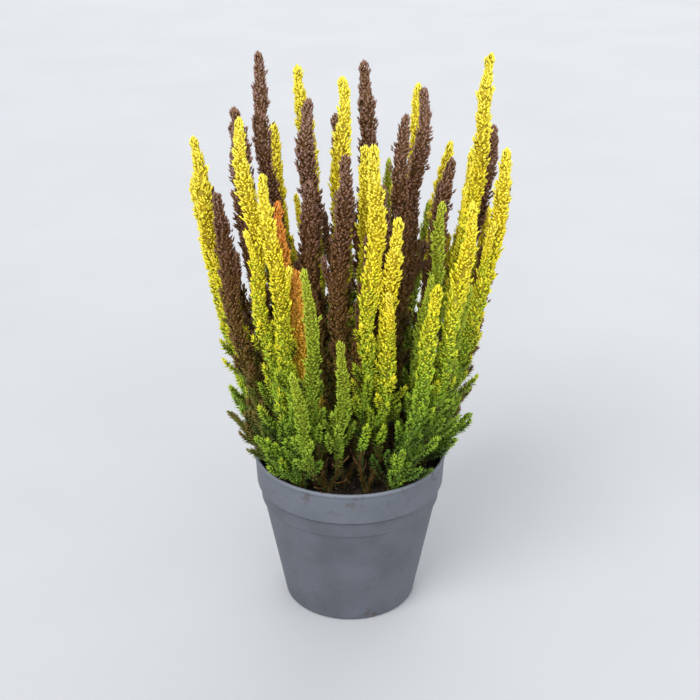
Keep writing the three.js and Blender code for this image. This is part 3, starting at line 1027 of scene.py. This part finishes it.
def pot():
    """The grower's pot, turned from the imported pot's outline, with its drain holes cut."""
    lip_bottom = POT_HEIGHT - LIP_HEIGHT
    outside = [
        (0, 0), (BASE_RADIUS - FOOT_BEVEL, 0), (BASE_RADIUS, FOOT_BEVEL),
        (BODY_RADIUS, TIER_BOTTOM - TIER_SLOPE), (TIER_RADIUS, TIER_BOTTOM),
        (TIER_TOP_RADIUS, BAND_BOTTOM), (BAND_RADIUS, BAND_BOTTOM),
        (RIM_RADIUS - LIP_STEP, lip_bottom - RIM_BEVEL), (RIM_RADIUS, lip_bottom),
        (RIM_RADIUS, POT_HEIGHT - RIM_BEVEL), (RIM_RADIUS - RIM_BEVEL, POT_HEIGHT),
    ]
    inside = [
        (RIM_RADIUS - WALL, POT_HEIGHT), (RIM_RADIUS - WALL, lip_bottom),
        (RIM_RADIUS - LIP_STEP - WALL, lip_bottom - INNER_STEP),
        (BAND_RADIUS - WALL, BAND_BOTTOM + WALL), (TIER_TOP_RADIUS - LEDGE_WALL, BAND_BOTTOM),
        (TIER_RADIUS - WALL, TIER_BOTTOM + INNER_STEP), (BODY_RADIUS - WALL, TIER_BOTTOM - INNER_DROP),
        (BASE_RADIUS - FOOT_WALL, FLOOR), (0, FLOOR),
    ]
    piece = turned("pot_shell", rounded(outside + inside), POT_SIDES, pot_finish())
    cut_drains(piece)
    piece.data.shade_smooth()
    piece.data.set_sharp_from_angle(angle=math.radians(SHARP_ANGLE))
    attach(piece, "root")
    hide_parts("pot")


def cut_drains(piece):
    """Cuts a ring of round drain holes through the pot's floor."""
    cutter = bmesh.new()
    for i in range(DRAIN_COUNT):
        angle = (i + 0.5) * FULL_TURN / DRAIN_COUNT
        made = bmesh.ops.create_cone(
            cutter, cap_ends=True, segments=DRAIN_SIDES, radius1=DRAIN_RADIUS * MM,
            radius2=DRAIN_RADIUS * MM, depth=DRAIN_CUT * MM,
        )
        across = Vector((math.cos(angle), math.sin(angle), 0)) * DRAIN_CIRCLE * MM
        bmesh.ops.translate(cutter, verts=made["verts"], vec=across)
    holes = bpy.data.meshes.new("drain_holes")
    cutter.to_mesh(holes)
    cutter.free()
    tool = bpy.data.objects.new("drain_holes", holes)
    bpy.context.collection.objects.link(tool)
    cut = piece.modifiers.new("drains", "BOOLEAN")
    cut.operation = "DIFFERENCE"
    cut.solver = "EXACT"
    cut.object = tool
    bpy.context.view_layer.update()
    solved = piece.evaluated_get(bpy.context.evaluated_depsgraph_get())
    mesh = bpy.data.meshes.new_from_object(solved)
    piece.modifiers.clear()
    piece.data = mesh
    bpy.data.objects.remove(tool)


def soil_height(x, y):
    """The gentle swell of the soil, as packed."""
    return SOIL_TOP + SOIL_BUMP * np.sin(x * 0.31 + 1.2) * np.cos(y * 0.27 - 0.5)


def soil_surface(rng):
    """Rings of points over the soil, with lumps and hollows and a lower edge, from the middle out."""
    radii = SOIL_RADIUS * (np.arange(1, SOIL_RINGS + 1) / SOIL_RINGS)
    x = np.outer(radii, np.cos(turns(SOIL_SIDES)))
    y = np.outer(radii, np.sin(turns(SOIL_SIDES)))
    z = soil_height(x, y)
    for _ in range(LUMP_COUNT):
        middle_x, middle_y = rng.uniform(-SOIL_RADIUS, SOIL_RADIUS, 2)
        wide, high = rng.uniform(*LUMP_WIDTHS), rng.uniform(*LUMP_HEIGHTS)
        z += high * np.exp(-((x - middle_x) ** 2 + (y - middle_y) ** 2) / wide ** 2)
    z += rng.normal(0, SOIL_GRAIN, z.shape)
    z -= SOIL_EDGE_DROP * smooth((np.hypot(x, y) - SOIL_EDGE) / SOIL_EDGE_RUN)
    return np.stack([x, y, z], -1).reshape(-1, 3)


def soil():
    """Peat up to just below the rim: a crumbly top on a body that fills the pot."""
    rng = np.random.default_rng(SOIL_SEED)
    side = ring_points(*np.transpose(SOIL_SIDE), SOIL_SIDES)
    ends = [(0, 0, soil_height(0, 0)), (0, 0, SOIL_SIDE[-1][1])]
    points = np.concatenate([soil_surface(rng), side, ends])
    # The rings run outward and then down, so the triangles are turned over.
    faces = tube_faces(SOIL_RINGS + len(SOIL_SIDE), SOIL_SIDES)[:, ::-1]
    peat = soil_finish()
    piece = mesh_object("soil_bed", points, faces, peat)
    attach(piece, "root")
    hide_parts("soil")
    crumbs(peat, rng)


def crumbs(peat, rng):
    """Loose crumbs and bark chips lying on the soil."""
    base = bmesh.new()
    bmesh.ops.create_icosphere(base, subdivisions=1, radius=1.0)
    ball = np.array([vert.co[:] for vert in base.verts])
    tris = np.array([[vert.index for vert in face.verts] for face in base.faces])
    base.free()
    points, faces = [], []
    for i in range(CRUMB_COUNT):
        radius = (SOIL_RADIUS - 1.5) * math.sqrt(rng.uniform())
        angle = rng.uniform(0, FULL_TURN)
        x, y = radius * math.cos(angle), radius * math.sin(angle)
        length = rng.uniform(*CRUMB_LENGTHS)
        size = length * np.array([1, rng.uniform(*CRUMB_WIDTHS), rng.uniform(*CRUMB_HEIGHTS)])
        lump = ball * rng.uniform(*CRUMB_RELIEF, (len(ball), 1)) * size
        turn = rng.uniform(0, FULL_TURN)
        spun = lump @ np.array([
            [math.cos(turn), math.sin(turn), 0], [-math.sin(turn), math.cos(turn), 0], [0, 0, 1],
        ])
        points.append(spun + (x, y, float(soil_height(x, y)) + 0.5))
        faces.append(tris + i * len(ball))
    piece = mesh_object("soil_crumbs", np.concatenate(points), np.concatenate(faces), peat)
    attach(piece, "root")


def fallen_needles(finish):
    """Dry and green needles that have dropped on the soil."""
    rng = np.random.default_rng(FALLEN_SEED)
    radius = (SOIL_RADIUS - 3) * np.sqrt(rng.uniform(0, 1, FALLEN_COUNT))
    angle = rng.uniform(0, FULL_TURN, FALLEN_COUNT)
    x, y = radius * np.cos(angle), radius * np.sin(angle)
    turn = rng.uniform(0, FULL_TURN, FALLEN_COUNT)
    way = unit(np.stack([np.cos(turn), np.sin(turn), rng.uniform(-0.1, 0.5, FALLEN_COUNT)], 1))
    across = np.stack([-np.sin(turn), np.cos(turn), np.zeros(FALLEN_COUNT)], 1)
    foot = np.stack([x, y, soil_height(x, y) + 1.0], 1)
    size = (rng.uniform(*FALLEN_LENGTHS, FALLEN_COUNT), FALLEN_WIDTH, FALLEN_THICKNESS)
    hue = rng.uniform(0.01, 0.99, FALLEN_COUNT)
    tone = rng.uniform(0.05, 0.6, FALLEN_COUNT)
    foliage = Foliage()
    foliage.leaves(foot, way, across, size, hue, tone, NEEDLE_SIDES)
    piece = foliage.build("fallen_needles", finish)
    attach(piece, "root")


def board():
    """The pale board that the pot stands on."""
    bpy.ops.mesh.primitive_plane_add(size=BOARD_SIZE)
    piece = bpy.context.object
    piece.name = "floor"
    piece.data.materials.append(board_finish())


def distant_light(name, azimuth, elevation, strength, spread):
    """A soft light far off."""
    light = bpy.data.lights.new(name, "SUN")
    light.energy = strength
    light.angle = math.radians(spread)
    made = bpy.data.objects.new(name, light)
    made.rotation_euler = (math.radians(90 - elevation), 0, math.radians(azimuth))
    bpy.context.collection.objects.link(made)


def studio():
    """Soft light from above and all sides, over a pale board."""
    board()
    for name, light in LIGHTS.items():
        distant_light(name, *light)
    world = bpy.data.worlds.new("studio")
    world.use_nodes = True
    world.node_tree.nodes["Background"].inputs["Color"].default_value = linear(SKY)
    bpy.context.scene.world = world


def camera():
    """The camera, aimed at the middle of the plant."""
    lens = bpy.data.cameras.new("camera")
    lens.lens = LENS
    made = bpy.data.objects.new("camera", lens)
    made.location = EYE
    made.rotation_euler = (Vector(AIM) - Vector(EYE)).to_track_quat("-Z", "Y").to_euler()
    bpy.context.collection.objects.link(made)
    bpy.context.scene.camera = made


bpy.context.scene.view_settings.view_transform = "Standard"
camera()
studio()
pot()
soil()
finishes = {colour: foliage_finish(colour) for colour in HUES}
fallen_needles(finishes["brown"])
for number, name in enumerate(SPRAYS):
    spray(name, number, finishes)
